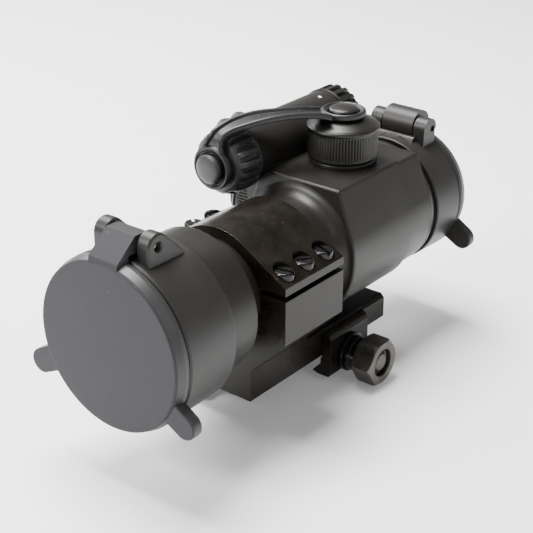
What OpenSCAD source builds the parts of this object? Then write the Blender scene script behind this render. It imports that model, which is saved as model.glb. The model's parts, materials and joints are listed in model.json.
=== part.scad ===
// Tube red dot sight with flip-up covers, side battery tube and rail clamp.
// +Y runs along the optical axis towards the eye, +Z is up, +X is the side
// of the clamp nut. The origin is the middle of the rail seat.

/* [Optical tube] */
// Height of the optical axis above the rail seat
axis_h = 32; // [31.8:0.1:32.4]
// Outer radius of the clamped front tube
tube_r = 15; // [14.9:0.05:15.1]
// Outer radius of the objective bell
bell_r = 20.6; // [20.4:0.1:20.7]
// Radius of the round part of the housing
body_r = 20; // [19.8:0.1:20.1]
// Height of the flat housing top above the axis
flat_h = 20.4; // [20.3:0.05:20.5]
// Half width of the flat housing top
flat_w = 14; // [13.5:0.1:14.4]

/* [Covers] */
// Radius of the front lid's face
front_lid_r = 23.5; // [23:0.1:24]
// Height of the front hinge pin above the axis
front_pin_h = 27; // [26.9:0.05:27.1]
// Height of the rear hinge pin above the axis
rear_pin_h = 22.5; // [22.45:0.05:22.6]
// Radius of both hinge pins
pin_r = 1; // [0.9:0.05:1.1]

/* [Turrets] */
// Distance of both turrets behind the rail seat's middle
turret_y = 24.6; // [24.4:0.1:24.8]
// Outer radius of the turret caps
cap_r = 10.8; // [10.5:0.1:10.9]
// How much further out the side turret sits than the top one
side_boss = 2.5; // [2:0.1:2.6]
// Number of grip grooves round a turret cap
cap_grooves = 48; // [24:1:60]

/* [Battery tube] */
// Sideways place of the battery tube's axis
bat_x = -20.7; // [-21:0.1:-20.6]
// Height of the battery tube's axis
bat_z = 55.2; // [55:0.1:55.4]
// Outer radius of the battery tube
bat_r = 8.9; // [8.7:0.1:9]
// Number of grip ribs round the battery cap and the brightness knob
rib_count = 18; // [12:1:24]

/* [Rail clamp] */
// Half width of the clamp base
base_w = 11.5; // [11.4:0.05:11.6]
// Half width of the mount ring across its ears
ear_w = 23.6; // [23:0.1:24]
// Width of the clamp nut across its flats
nut_af = 12.8; // [12.5:0.1:13]
// Radius of the clamp stud's thread
stud_r = 2.95; // [2.9:0.05:3]

/* [Hidden] */
H = axis_h;
T = turret_y;
FY = -65.7;
FZ = H + front_pin_h;
RY = 58.3;
RZ = H + rear_pin_h;
BY = 9.5;
BZ = -0.9;
$fn = 96;

metal = [0.17, 0.165, 0.155];
paint = [0.09, 0.085, 0.075];
cover = [0.22, 0.22, 0.225];
lidc = [0.40, 0.40, 0.42];
steel = [0.45, 0.45, 0.44];
glassc = [0.45, 0.55, 0.6, 0.5];
rub = [0.2, 0.2, 0.21];

// A profile of [radius, y] points turned about the optical axis.
module yrev(pts) translate([0, 0, H]) rotate([-90, 0, 0]) rotate_extrude() polygon(pts);
// A cylinder along Y, about an axis at x, z.
module ycyl(r, y0, y1, x = 0, z = H) translate([x, y0, z]) rotate([-90, 0, 0]) cylinder(r = r, h = y1 - y0);
// A profile of [radius, y] points turned about the battery tube's axis.
module brev(pts) translate([bat_x, 0, bat_z]) rotate([-90, 0, 0]) rotate_extrude() polygon(pts);
// A cylinder along X, about an axis at y, z.
module xcyl(r, x0, x1, y, z) translate([x0, y, z]) rotate([0, 90, 0]) cylinder(r = r, h = x1 - x0);
// A flat outline in Y and Z, drawn out along X.
module xprism(x0, x1) translate([x0, 0, 0]) rotate([90, 0, 90]) linear_extrude(x1 - x0) children();
// A flat outline in X and Z, drawn out along Y.
module yprism(y0, y1) translate([0, y1, 0]) rotate([90, 0, 0]) linear_extrude(y1 - y0) children();
// Places a turret built along +Z from the axis on the top or on the -X side.
module turret_at(side) {
  if (side == 0) translate([0, T, H]) children();
  else translate([-side_boss, T, H]) rotate([0, -90, 0]) children();
}
// One grip tab of a lid.
module tab(side, r0, r1, w, y0, y1)
  translate([0, 0, H]) rotate([0, side > 0 ? 30 : 153, 0]) yprism(y0, y1) union() {
    translate([r0, -w / 2]) square([r1 - w / 2 - r0, w]);
    translate([r1 - w / 2, 0]) circle(r = w / 2);
  }

module front_tube() color(metal) yrev([[17.6, -56], [18.2, -56], [18.2, -69.2], [18.7, -69.7], [20.1, -69.7],
  [bell_r, -69.2], [bell_r, -40.9], [19.9, -40.1], [tube_r, -38.2], [tube_r, -6.6], [13.6, -6.6],
  [13.6, 4], [12.4, 4], [12.4, -36], [17.6, -45]]);

// Points of a shallow lens face: radius R, centre at cy, bulging towards -1 or +1.
function dome(R, cy, rim, way) = [for (i = [0:10]) let (r = rim * i / 10) [r, cy + way * sqrt(R * R - r * r)]];

module objective_lens() color(glassc) yrev(concat(dome(60, -0.9, 18.15, -1), [[18.15, -56.05], [0, -56.05]]));

module objective_retaining_ring() color(metal) yrev([[16.3, -58.7], [18.15, -58.7], [18.15, -61.2], [16.9, -61.2], [16.3, -60.6]]);

module front_ear() {
  translate([FY, FZ]) circle(r = 3.7);
  polygon([[FY - 3.7, FZ], [FY - 3.7, H + 21.6], [-55.4, H + 21.6], [-56.6, H + 23.2], [-59, H + 25.7], [FY + 2.7, FZ + 2.5]]);
}

module front_cover_ring() color(cover) difference() {
  union() {
    yrev([[20.75, -53.1], [23.3, -53.1], [23.8, -53.6], [24.4, -70.9], [23.9, -71.4], [18.6, -71.4], [18.6, -69.75], [20.75, -69.75]]);
    for (s = [0, 1]) mirror([s, 0, 0]) xprism(5.3, 9.5) front_ear();
  }
  ycyl(20.75, -69.75, -53);
  xcyl(3.5, -5.3, 5.3, FY, FZ);
  xcyl(pin_r, -9.6, 9.6, FY, FZ);
}

module front_block() {
  translate([FY, FZ]) circle(r = 2.9);
  polygon([[-76, H + 22], [-76, H + 24.2], [-70.2, H + 28.9], [-69, FZ + 2.9], [FY, FZ + 2.9], [FY, H + 25.3], [-71.55, H + 25.3], [-71.55, H + 22]]);
}

module front_cover_lid() color(lidc) difference() {
  union() {
    yrev([[0, -76], [front_lid_r - 0.4, -76], [front_lid_r, -75.6], [24.3, -73.2], [24.3, -72], [23.9, -71.55], [17.6, -71.55], [17.6, -70.7], [16.6, -70.7], [16.6, -73.8], [0, -73.8]]);
    tab(1, 20, 32, 7, -75.4, -71.9);
    tab(-1, 20, 32.5, 7, -75.4, -71.9);
    xprism(-4.9, 4.9) front_block();
  }
  xcyl(pin_r + 0.06, -5.5, 5.5, FY, FZ);
  xcyl(2.3, -2.1, 2.1, FY, FZ);
}

module front_hinge_pin() color(steel) xcyl(pin_r, -8.9, 8.3, FY, FZ);

// A torsion spring drawn as close turns round the hinge pin.
module hinge_spring(y, z) color(steel) {
  for (i = [-1.5, -0.5, 0.5, 1.5]) translate([i, y, z]) rotate([0, 90, 0]) rotate_extrude() translate([1.68, 0]) circle(r = 0.45);
}

module front_hinge_spring() hinge_spring(FY, FZ);

// Saddle section: a circle with a raised flat top whose sides run down tangent to it.
module saddle(top) {
  circle(r = body_r);
  translate([0, -1.4]) circle(r = body_r);
  polygon([[-flat_w, top], [flat_w, top], [18.85, 6.67], [-18.85, 6.67]]);
}

module main_housing() color(metal) difference() {
  union() {
    yrev([[13, -6.5], [16, -6.5], [16.1, -4], [16.35, -2.2], [16.8, -0.6], [17.5, 0.9], [18.5, 2.3], [19.7, 3.3],
      [body_r, 3.4], [body_r, 44.2], [19.5, 46.6], [17.4, 46.6], [17.4, 47.6], [16.8, 47.6], [16.8, 58.2], [16.4, 58.6], [13, 58.6]]);
    translate([0, 0, H]) yprism(3.4, 33) saddle(flat_h);
    translate([0, 0, H]) yprism(33, 41.5) saddle(flat_h - 0.6);
    translate([0, 0, H]) yprism(41.4, 44.2) intersection() {
      saddle(flat_h - 0.6);
      translate([-30, 0]) square(60);
    }
    ycyl(bat_r, 1.5, 43.4, bat_x, bat_z);
    yprism(6, 42) polygon([[bat_x - 7.8, bat_z - 4], [bat_x + 8.2, bat_z - 3], [-12.2, H + 20.3], [-12, H + 10], [-19.2, H + 5], [-19.6, 44]]);
    translate([0, T, H]) rotate([0, -90, 0]) cylinder(r = 12, h = flat_h + side_boss);
  }
  ycyl(13.65, -6.6, 44.6);
  ycyl(14.9, 44.6, 59);
  translate([0, T, H]) cylinder(r = 7.05, h = 25);
  translate([0, T, H]) rotate([0, -90, 0]) cylinder(r = 7.05, h = 25);
  ycyl(6, 1, 44, bat_x, bat_z);
  ycyl(7.1, 1, 7, bat_x, bat_z);
  // room for the brightness knob to turn
  ycyl(9.6, 43.4, 45, bat_x, bat_z);
  // pocket for the spring that steadies the inner tube
  translate([0, T, H]) rotate([0, 135, 0]) cylinder(r = 2.6, h = 17.6);
  // seat of the index dot
  translate([bat_x, 38.4, bat_z]) rotate([0, 12, 0]) translate([0, 0, bat_r - 0.3]) cylinder(r = 0.62, h = 2);
}

module knob_index_dot() color("white") translate([bat_x, 38.4, bat_z]) rotate([0, 12, 0]) translate([0, 0, bat_r - 0.3]) cylinder(r = 0.6, h = 0.4);

module ocular_lens() color(glassc) yrev(concat(dome(56, -8.4, 14.85, 1), [[14.85, 44.65], [0, 44.65]]));

module ocular_retaining_ring() color(metal) yrev([[13.2, 46.05], [14.85, 46.05], [14.85, 48.6], [13.8, 48.6], [13.2, 48]]);

module rear_ear() {
  translate([RY, RZ]) circle(r = 3.5);
  polygon([[RY - 3.5, RZ], [RY - 3.9, H + 16.5], [59.8, H + 16.5], [RY + 3.4, RZ - 0.6], [RY + 3.5, RZ]]);
}

module rear_cover_ring() color(cover) difference() {
  union() {
    yrev([[16.85, 47.7], [19.9, 47.7], [20.2, 48], [20.5, 59.3], [20.1, 59.8], [15, 59.8], [15, 58.7], [16.85, 58.7]]);
    for (s = [0, 1]) mirror([s, 0, 0]) xprism(6, 10) intersection() {
      rear_ear();
      translate([43, H]) square([16.8 + 3.2, 40]);
    }
    translate([-10, 50.6, H + 17]) cube([20, 7.1, 3.5]);
  }
  ycyl(16.85, 47, 58.7);
  xcyl(5.15, -6, 6, RY, RZ);
  xcyl(pin_r, -10.4, 10.4, RY, RZ);
  // clearance above the lid's rim
  translate([-12, 59.8, H + 10]) cube([24, 6, 12.1]);
}

module rear_block() {
  translate([RY, RZ]) circle(r = 4.9);
  polygon([[64.6, H + 17], [64.6, H + 20.4], [62.2, RZ + 3.1], [60.4, RZ + 4.4], [RY, RZ + 4.9], [RY, RZ - 1.2], [59.95, H + 20.9], [59.95, H + 17]]);
}

module rear_cover_lid() color(cover) difference() {
  union() {
    yrev([[0, 64.6], [19.2, 64.6], [19.6, 64.2], [20.5, 61.6], [20.5, 60.4], [20.1, 59.95], [14.2, 59.95], [14.2, 59.2], [13.2, 59.2], [13.2, 62.4], [0, 62.4]]);
    tab(1, 17, 28.2, 7, 60.1, 63);
    tab(-1, 17, 28.2, 7, 60.1, 63);
    xprism(-5.6, 5.6) rear_block();
  }
  xcyl(pin_r + 0.06, -7, 7, RY, RZ);
  xcyl(2.6, -2.1, 2.1, RY, RZ);
  // room for the ears while the lid opens
  for (s = [0, 1]) mirror([s, 0, 0]) xcyl(3.85, 5.6, 11.5, RY, RZ);
}

module rear_hinge_pin() color(steel) xcyl(pin_r, -9.4, 8.8, RY, RZ);
module rear_hinge_spring() hinge_spring(RY, RZ);

module inner_tube() color(metal) difference() {
  union() {
    ycyl(11.2, 6, 40);
    // collar that holds the tube centred in the housing
    ycyl(13.55, 36, 40);
  }
  ycyl(10.2, 5, 9.5);
  ycyl(9.6, 9, 41);
}

module reflector_lens() color([0.75, 0.35, 0.3, 0.5]) yrev(concat(dome(40, 46.4, 10.15, -1), [[10.15, 9.0], [0, 9.0]]));

module led_emitter() color([0.6, 0.1, 0.1]) {
  translate([-2, 33, H - 9.3]) cube([4, 3.4, 2.4]);
  ycyl(0.9, 31.6, 33, 0, H - 8.1);
}

module inner_tube_spring() color(steel) translate([0, T, H]) rotate([0, 135, 0])
  for (i = [0:5]) translate([0, 0, 12.1 + i]) rotate_extrude() translate([1.7, 0]) circle(r = 0.45);

// Threaded turret seat: a flange on the housing and a collar for the cap.
module turret_base(side) color(metal) turret_at(side) difference() {
  union() {
    cylinder(r = 7, h = flat_h);
    translate([0, 0, flat_h]) cylinder(r = 10.2, h = 1.4);
    translate([0, 0, flat_h + 1.4]) cylinder(r = 8.1, h = 5.6);
  }
  translate([0, 0, -1]) cylinder(r = 11.6, h = 12.6);
  cylinder(r = 2.2, h = 30);
  translate([0, 0, flat_h + 3]) cylinder(r = 5.6, h = 8);
}
// Screw dial with a coin slot and a foot that reaches the inner tube.
module adjuster(side) color(steel) turret_at(side) difference() {
  union() {
    translate([0, 0, 11.4 - side * side_boss]) cylinder(r = 2.13, h = 14 + side * side_boss);
    translate([0, 0, flat_h + 3.1]) cylinder(r = 5.4, h = 4.2);
  }
  translate([-6, -0.6, flat_h + 6.1]) cube([12, 1.2, 3]);
}
// Knurled screw cap with a domed button for the tether loop.
module turret_cap(side) color(metal) turret_at(side) difference() {
  union() {
    translate([0, 0, flat_h + 1.6]) rotate_extrude() polygon([[0, 0], [cap_r - 0.9, 0], [cap_r - 0.4, 0.5], [cap_r - 0.4, 8.5], [cap_r, 8.9], [cap_r, 9.4], [cap_r - 0.4, 9.9], [6.5, 11.6], [4.5, 11.9], [0, 11.9]]);
    translate([0, 0, flat_h + 12]) cylinder(r = 4.1, h = 3.6);
    translate([0, 0, flat_h + 15.6 - 9.4]) intersection() {
      sphere(r = 10.4);
      translate([0, 0, 9]) cylinder(r = 4.4, h = 3);
    }
  }
  translate([0, 0, flat_h + 1]) cylinder(r = 8.2, h = 9.6);
  translate([0, 0, flat_h + 1.5]) cylinder(r = 9.3, h = 1.3);
  for (i = [0:cap_grooves - 1]) rotate([0, 0, i * 360 / cap_grooves]) translate([cap_r - 0.28, 0, flat_h + 2.4]) cylinder(r = 0.32, h = 7.4, $fn = 8);
}
module cap_seal(side) color(rub) turret_at(side) translate([0, 0, flat_h + 2.3]) rotate_extrude() translate([8.7, 0]) circle(r = 0.48);

module elevation_turret_base() turret_base(0);
module elevation_adjuster() adjuster(0);
module elevation_cap() turret_cap(0);
module elevation_cap_seal() cap_seal(0);
module windage_turret_base() turret_base(1);
module windage_adjuster() adjuster(1);
module windage_cap() turret_cap(1);
module windage_cap_seal() cap_seal(1);

module rib_grooves(r, y0, y1) for (i = [0:rib_count - 1])
  translate([bat_x, 0, bat_z]) rotate([0, i * 360 / rib_count, 0]) translate([r + 0.9, y0, 0]) rotate([-90, 0, 0]) cylinder(r = 1.3, h = y1 - y0, $fn = 24);

module battery_cap() color(metal) difference() {
  union() {
    brev([[0, -8.9], [5.6, -8.9], [7.6, -7.4], [9.5, -5.2], [9.5, 0.6], [9.2, 1.2], [7, 1.2], [7, 6.6], [5.6, 6.6], [5.6, 0], [0, 0]]);
    ycyl(4.1, -12, -8.9, bat_x, bat_z);
    intersection() {
      translate([bat_x, -2.9, bat_z]) sphere(r = 10.4);
      ycyl(4.4, -13.6, -11.8, bat_x, bat_z);
    }
  }
  rib_grooves(9.5, -4.6, 0);
  // seal groove
  brev([[7.42, 0.58], [8.38, 0.58], [8.38, 1.3], [7.42, 1.3]]);
}
module brev_seal() translate([bat_x, 0, bat_z]) rotate([-90, 0, 0]) rotate_extrude() translate([7.9, 1.04]) circle(r = 0.42);
module battery_cap_seal() color(rub) brev_seal();
module battery_cell() color(steel) union() {
  ycyl(5.8, 12, 22.4, bat_x, bat_z);
  ycyl(3.6, 22.4, 22.8, bat_x, bat_z);
}
module battery_spring() color(steel) for (i = [0:8])
  translate([bat_x, 0.6 + i * 1.35, bat_z]) rotate([-90, 0, 0]) rotate_extrude() translate([3.6 - i * 0.12, 0]) circle(r = 0.4);

module brightness_knob() color(metal) difference() {
  union() {
    brev([[0, 43.7], [8.9, 43.7], [9.3, 44.1], [9.3, 49.8], [8.2, 51.6], [7.6, 52], [0, 52]]);
    ycyl(2.5, 34.2, 44, bat_x, bat_z);
  }
  rib_grooves(9.3, 44.6, 50.4);
}
module switch_disc() color([0.1, 0.3, 0.15]) difference() {
  ycyl(5.9, 31.6, 33.4, bat_x, bat_z);
  ycyl(1, 30, 34, bat_x, bat_z);
}

// Strap route: points along the middle of the band, and the way its face looks.
arm1 = [[-20.5, -10.3, 60.4], [-19.8, -10.4, 63], [-19.2, -9.3, 65.3], [-18.2, -6.6, 66.7], [-16.4, -2.6, 67.7], [-13.3, 3, 68.5], [-9, 9.5, 68.7], [-5, 15.5, 68.2], [-2.6, 19.4, 67.2]];
face1 = [[0, -1, 0], [0, -1, 0.1], [0, -0.8, 0.6], [0.02, -0.4, 0.9], [0.05, -0.15, 1], [0.05, 0, 1], [0.03, 0.1, 1], [0, 0.1, 1], [0, 0.05, 1]];
wide1 = [8.5, 6, 5.2, 5.6, 7, 7.8, 7.4, 8.2, 10];
arm2 = [[-16.8, -3.4, 67.6], [-22, 0, 67.6], [-28, 4.5, 63.2], [-32.2, 9, 56.5], [-36.2, 13.5, 48.5], [-37.6, 17, 41.5], [-37.7, 19.8, 36.6]];
face2 = [[0, -0.1, 1], [-0.35, 0, 1], [-0.8, 0, 0.7], [-1, 0, 0.35], [-1, 0, 0.15], [-1, 0, 0.05], [-1, 0, 0]];
wide2 = [8, 7.6, 7, 7, 7, 7.4, 8];
function unit(v) = v / norm(v);
function pick(p, i) = p[max(0, min(len(p) - 1, i))];
// Catmull-Rom point on a list at parameter u
function cr(p, u) = let (i = min(floor(u), len(p) - 2), t = u - i, a = pick(p, i - 1), b = p[i], c = p[i + 1], d = pick(p, i + 2))
  0.5 * ((2 * b) + (c - a) * t + (2 * a - 5 * b + 4 * c - d) * t * t + (3 * b - a - 3 * c + d) * t * t * t);
function sect(w, t) = [[-w / 2, -t * 0.3], [-w / 2 + t * 0.3, -t / 2], [w / 2 - t * 0.3, -t / 2], [w / 2, -t * 0.3], [w / 2, t * 0.3], [w / 2 - t * 0.3, t / 2], [-w / 2 + t * 0.3, t / 2], [-w / 2, t * 0.3]];
module band(p, f, w, t, n) {
  m = len(p) - 1;
  rings = [for (k = [0:n]) let (u = m * k / n, c = cr(p, u), tg = unit(cr(p, min(m, u + 0.05)) - cr(p, max(0, u - 0.05))),
    s = unit(cross(tg, cr(f, u))), nn = cross(s, tg), ww = cr(w, u)) [for (q = sect(ww, t)) c + s * q[0] + nn * q[1]]];
  pts = [for (r = rings) each r];
  polyhedron(points = pts, faces = concat([for (j = [1:6]) [0, j + 1, j]],
    [for (k = [0:n - 1], j = [0:7]) [k * 8 + j, (k + 1) * 8 + (j + 1) % 8, (k + 1) * 8 + j]],
    [for (k = [0:n - 1], j = [0:7]) [k * 8 + j, k * 8 + (j + 1) % 8, (k + 1) * 8 + (j + 1) % 8]],
    [for (j = [1:6]) [n * 8, n * 8 + j, n * 8 + j + 1]]));
}
module tether_strap() color(rub) difference() {
  union() {
    band(arm1, face1, wide1, 2, 32);
    band(arm2, face2, wide2, 2, 24);
    ycyl(6.6, -11.5, -9.4, bat_x, bat_z);
    translate([0, T, H + flat_h + 13.8]) cylinder(r = 6.8, h = 1.9);
    translate([-side_boss, T, H]) rotate([0, -90, 0]) translate([0, 0, flat_h + 13.8]) cylinder(r = 6.8, h = 1.9);
  }
  ycyl(4.75, -16, -5, bat_x, bat_z);
  translate([0, T, H + flat_h + 8]) cylinder(r = 4.75, h = 12);
  translate([0, T, H]) rotate([0, -90, 0]) translate([0, 0, flat_h + 8]) cylinder(r = 4.75, h = 12);
}

// Ears and screws of the mount ring
screw_x = 19.7;
screw_y = [-28.6, -20, -11.4];
module each_screw() for (s = [-1, 1], y = screw_y) translate([s * screw_x, y, 0]) children();

module ring_base() color(paint) difference() {
  union() {
    yprism(-33, -7) polygon([[-base_w, 0], [base_w, 0], [base_w, 9.8], [ear_w, 21.9], [ear_w, H + 3.1], [-ear_w, H + 3.1], [-ear_w, 21.9], [-base_w, 9.8]]);
    yprism(-32.6, 32.7) polygon([[-base_w, 0], [base_w, 0], [base_w, 6.6], [base_w - 1.2, 7.8], [-base_w + 1.2, 7.8], [-base_w, 6.6]]);
    yprism(-32.6, 32.7) polygon([[-base_w + 0.4, 7], [-13.5, 7], [-14.6, 5.8], [-14.6, -5.4], [-13.9, -6.2], [-10.6, -6.2], [-8.3, -5.6], [-11.2, -2.4], [-11.2, 0], [-base_w + 0.4, 0.4]]);
  }
  ycyl(tube_r + 0.05, -34, -6);
  each_screw() translate([0, 0, 24]) cylinder(r = 1.5, h = 20);
  xcyl(stud_r + 0.05, -16, 13, BY, BZ);
}
module ring_cap() color(paint) difference() {
  translate([0, 0, H]) yprism(-33, -7) intersection() {
    union() {
      circle(r = 18.2);
      polygon([[-ear_w, 4.6], [ear_w, 4.6], [ear_w, 6.9], [9.48, 15.53], [-9.48, 15.53], [-ear_w, 6.9]]);
    }
    translate([-30, 4.6]) square([60, 20]);
  }
  ycyl(tube_r + 0.05, -34, -6);
  each_screw() translate([0, 0, 30]) cylinder(r = 1.7, h = 20);
  each_screw() translate([0, 0, 39.4]) cylinder(r = 3.15, h = 20);
}
module ring_screws() color(steel) each_screw() difference() {
  union() {
    translate([0, 0, 24.5]) cylinder(r = 1.48, h = 15);
    translate([0, 0, 39.42]) cylinder(r = 2.9, h = 2.4);
  }
  translate([-3, -0.45, 40.9]) cube([6, 0.9, 2]);
}

module clamp_stud() color(steel) difference() {
  union() {
    xcyl(stud_r, -15, 26.6, BY, BZ);
    translate([-18.6, BY, BZ]) rotate([0, 90, 0]) cylinder(r = 5.77, h = 3.95, $fn = 6);
  }
  // flat underside of the recoil lug between the jaws
  translate([-11, BY - 4, BZ - 5]) cube([22, 8, 3]);
}
module clamp_jaw() color(paint) difference() {
  yprism(0, 19) polygon([[11.8, 8.3], [12.9, 8.3], [14.3, 7.6], [15, 6.2], [15, -5.4], [14.3, -6.2], [10.6, -6.2], [8.3, -5.6], [11.3, -2.4], [11.3, -0.35], [11.8, -0.35]]);
  xcyl(stud_r + 0.12, 5, 18, BY, BZ);
}
module clamp_washer() color(steel) difference() {
  xcyl(6, 15.02, 16.4, BY, BZ);
  xcyl(stud_r + 0.12, 14, 18, BY, BZ);
}
module clamp_spacer() color(paint) difference() {
  xcyl(5.3, 16.42, 20.6, BY, BZ);
  xcyl(stud_r + 0.12, 14, 22, BY, BZ);
}
module clamp_nut() color(steel) difference() {
  intersection() {
    translate([20.66, BY, BZ]) rotate([0, 90, 0]) rotate([0, 0, 30]) cylinder(r = nut_af / sqrt(3), h = 6.6, $fn = 6);
    translate([20.66, BY, BZ]) rotate([0, 90, 0]) rotate_extrude() polygon([[0, 0], [6.6, 0], [7.5, 0.6], [7.5, 5.8], [6.3, 6.6], [0, 6.6]]);
  }
  xcyl(stud_r + 0.06, 20, 28, BY, BZ);
  xcyl(4.2, 25, 28, BY, BZ);
}

front_tube();
objective_lens();
objective_retaining_ring();
front_cover_ring();
front_cover_lid();
front_hinge_pin();
front_hinge_spring();
main_housing();
ocular_lens();
ocular_retaining_ring();
rear_cover_ring();
rear_cover_lid();
rear_hinge_pin();
rear_hinge_spring();
inner_tube();
reflector_lens();
led_emitter();
inner_tube_spring();
elevation_turret_base();
elevation_adjuster();
elevation_cap();
elevation_cap_seal();
windage_turret_base();
windage_adjuster();
windage_cap();
windage_cap_seal();
battery_cap();
battery_cap_seal();
battery_cell();
battery_spring();
brightness_knob();
switch_disc();
knob_index_dot();
tether_strap();
ring_base();
ring_cap();
ring_screws();
clamp_stud();
clamp_jaw();
clamp_washer();
clamp_spacer();
clamp_nut();
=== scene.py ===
import bpy, bmesh, math, json
from mathutils import Vector, Matrix


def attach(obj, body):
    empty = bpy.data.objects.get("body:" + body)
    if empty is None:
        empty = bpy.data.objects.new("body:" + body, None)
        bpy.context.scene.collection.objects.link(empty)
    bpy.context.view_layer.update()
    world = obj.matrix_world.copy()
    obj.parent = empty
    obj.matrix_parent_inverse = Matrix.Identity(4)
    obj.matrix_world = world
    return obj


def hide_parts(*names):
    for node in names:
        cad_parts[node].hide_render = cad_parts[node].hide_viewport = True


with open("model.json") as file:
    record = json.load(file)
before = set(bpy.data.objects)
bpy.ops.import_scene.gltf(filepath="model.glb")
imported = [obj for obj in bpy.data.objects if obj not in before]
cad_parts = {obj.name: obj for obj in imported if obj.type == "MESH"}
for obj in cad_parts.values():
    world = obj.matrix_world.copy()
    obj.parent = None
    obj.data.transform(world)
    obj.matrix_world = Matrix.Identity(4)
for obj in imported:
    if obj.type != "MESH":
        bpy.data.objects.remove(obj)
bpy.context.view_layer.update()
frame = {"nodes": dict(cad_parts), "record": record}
MM = 0.001
H = 32.0
T = 24.6
FY, FZ = -65.7, 59.0
RY, RZ = 58.3, 54.5
BX, BZZ = -20.7, 55.2
CY, CZ = 9.5, -0.9
SX = 19.7
col = bpy.context.scene.collection


# ---------------------------------------------------------------- camera
az, el = math.radians(38.61), math.radians(25.86)
back = Vector((math.sin(az) * math.cos(el), -math.cos(az) * math.cos(el), math.sin(el)))
right = Vector((math.cos(az), math.sin(az), 0))
up = back.cross(right)
cd = bpy.data.cameras.new("camera")
cam = bpy.data.objects.new("camera", cd)
col.objects.link(cam)
pos = Vector((218.0, -284.49, 199.78)) * MM
cam.matrix_world = Matrix(((right.x, up.x, back.x, pos.x), (right.y, up.y, back.y, pos.y), (right.z, up.z, back.z, pos.z), (0, 0, 0, 1)))
cd.sensor_width = 36
cd.lens = 91.888
cd.clip_start = 0.01
cd.clip_end = 20
bpy.context.scene.camera = cam


# ---------------------------------------------------------------- materials
def material(name, dark, light, rough=(0.4, 0.5), metal=0.0, grain=900.0, grain_h=0.02, blotch=60.0,
             spec=0.5, coat=0.0, coat_rough=0.2, speck=None, ior=1.45, sheen=0.0, streak=None):
    m = bpy.data.materials.new(name)
    m.use_nodes = True
    nt = m.node_tree
    N, L = nt.nodes, nt.links
    b = N["Principled BSDF"]
    b.inputs["Metallic"].default_value = metal
    b.inputs["IOR"].default_value = ior
    b.inputs["Specular IOR Level"].default_value = spec
    b.inputs["Coat Weight"].default_value = coat
    b.inputs["Coat Roughness"].default_value = coat_rough
    if sheen:
        b.inputs["Sheen Weight"].default_value = sheen
        b.inputs["Sheen Roughness"].default_value = 0.5
    tc = N.new("ShaderNodeTexCoord")
    mp = N.new("ShaderNodeMapping")
    L.new(tc.outputs["Object"], mp.inputs["Vector"])
    if streak:
        mp.inputs["Scale"].default_value = streak
    n1 = N.new("ShaderNodeTexNoise")
    n1.inputs["Scale"].default_value = blotch
    n1.inputs["Detail"].default_value = 6
    n1.inputs["Roughness"].default_value = 0.62
    L.new(tc.outputs["Object"], n1.inputs["Vector"])
    n2 = N.new("ShaderNodeTexNoise")
    n2.inputs["Scale"].default_value = grain
    n2.inputs["Detail"].default_value = 4
    L.new(mp.outputs["Vector"], n2.inputs["Vector"])
    cr = N.new("ShaderNodeValToRGB")
    cr.color_ramp.elements[0].position = 0.3
    cr.color_ramp.elements[1].position = 0.72
    cr.color_ramp.elements[0].color = (*dark, 1)
    cr.color_ramp.elements[1].color = (*light, 1)
    L.new(n1.outputs["Fac"], cr.inputs["Fac"])
    out = cr.outputs["Color"]
    g = N.new("ShaderNodeMix")
    g.data_type = "RGBA"
    g.blend_type = "OVERLAY"
    g.inputs["Factor"].default_value = 0.35
    L.new(out, g.inputs["A"])
    L.new(n2.outputs["Fac"], g.inputs["B"])
    out = g.outputs["Result"]
    if speck:
        n3 = N.new("ShaderNodeTexNoise")
        n3.inputs["Scale"].default_value = 750
        n3.inputs["Detail"].default_value = 3
        L.new(tc.outputs["Object"], n3.inputs["Vector"])
        r3 = N.new("ShaderNodeValToRGB")
        r3.color_ramp.elements[0].position = 0.68
        r3.color_ramp.elements[1].position = 0.75
        L.new(n3.outputs["Fac"], r3.inputs["Fac"])
        mx = N.new("ShaderNodeMix")
        mx.data_type = "RGBA"
        L.new(r3.outputs["Color"], mx.inputs["Factor"])
        L.new(out, mx.inputs["A"])
        mx.inputs["B"].default_value = (*speck, 1)
        out = mx.outputs["Result"]
    L.new(out, b.inputs["Base Color"])
    mr = N.new("ShaderNodeMapRange")
    mr.inputs["From Min"].default_value = 0.3
    mr.inputs["From Max"].default_value = 0.7
    mr.inputs["To Min"].default_value = rough[0]
    mr.inputs["To Max"].default_value = rough[1]
    L.new(n1.outputs["Fac"], mr.inputs["Value"])
    L.new(mr.outputs["Result"], b.inputs["Roughness"])
    bp = N.new("ShaderNodeBump")
    bp.inputs["Strength"].default_value = 1.0
    bp.inputs["Distance"].default_value = grain_h * MM
    L.new(n2.outputs["Fac"], bp.inputs["Height"])
    L.new(bp.outputs["Normal"], b.inputs["Normal"])
    return m


def glass(name, tint, rough=0.02):
    m = bpy.data.materials.new(name)
    m.use_nodes = True
    nt = m.node_tree
    b = nt.nodes["Principled BSDF"]
    b.inputs["Transmission Weight"].default_value = 1.0
    b.inputs["IOR"].default_value = 1.5
    b.inputs["Coat Weight"].default_value = 0.6
    n = nt.nodes.new("ShaderNodeTexNoise")
    n.inputs["Scale"].default_value = 25
    c = nt.nodes.new("ShaderNodeValToRGB")
    c.color_ramp.elements[0].color = (*tint, 1)
    c.color_ramp.elements[1].color = (*[min(1, t * 1.06) for t in tint], 1)
    nt.links.new(n.outputs["Fac"], c.inputs["Fac"])
    nt.links.new(c.outputs["Color"], b.inputs["Base Color"])
    r = nt.nodes.new("ShaderNodeMapRange")
    r.inputs["To Min"].default_value = rough
    r.inputs["To Max"].default_value = rough + 0.03
    nt.links.new(n.outputs["Fac"], r.inputs["Value"])
    nt.links.new(r.outputs["Result"], b.inputs["Roughness"])
    return m


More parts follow.
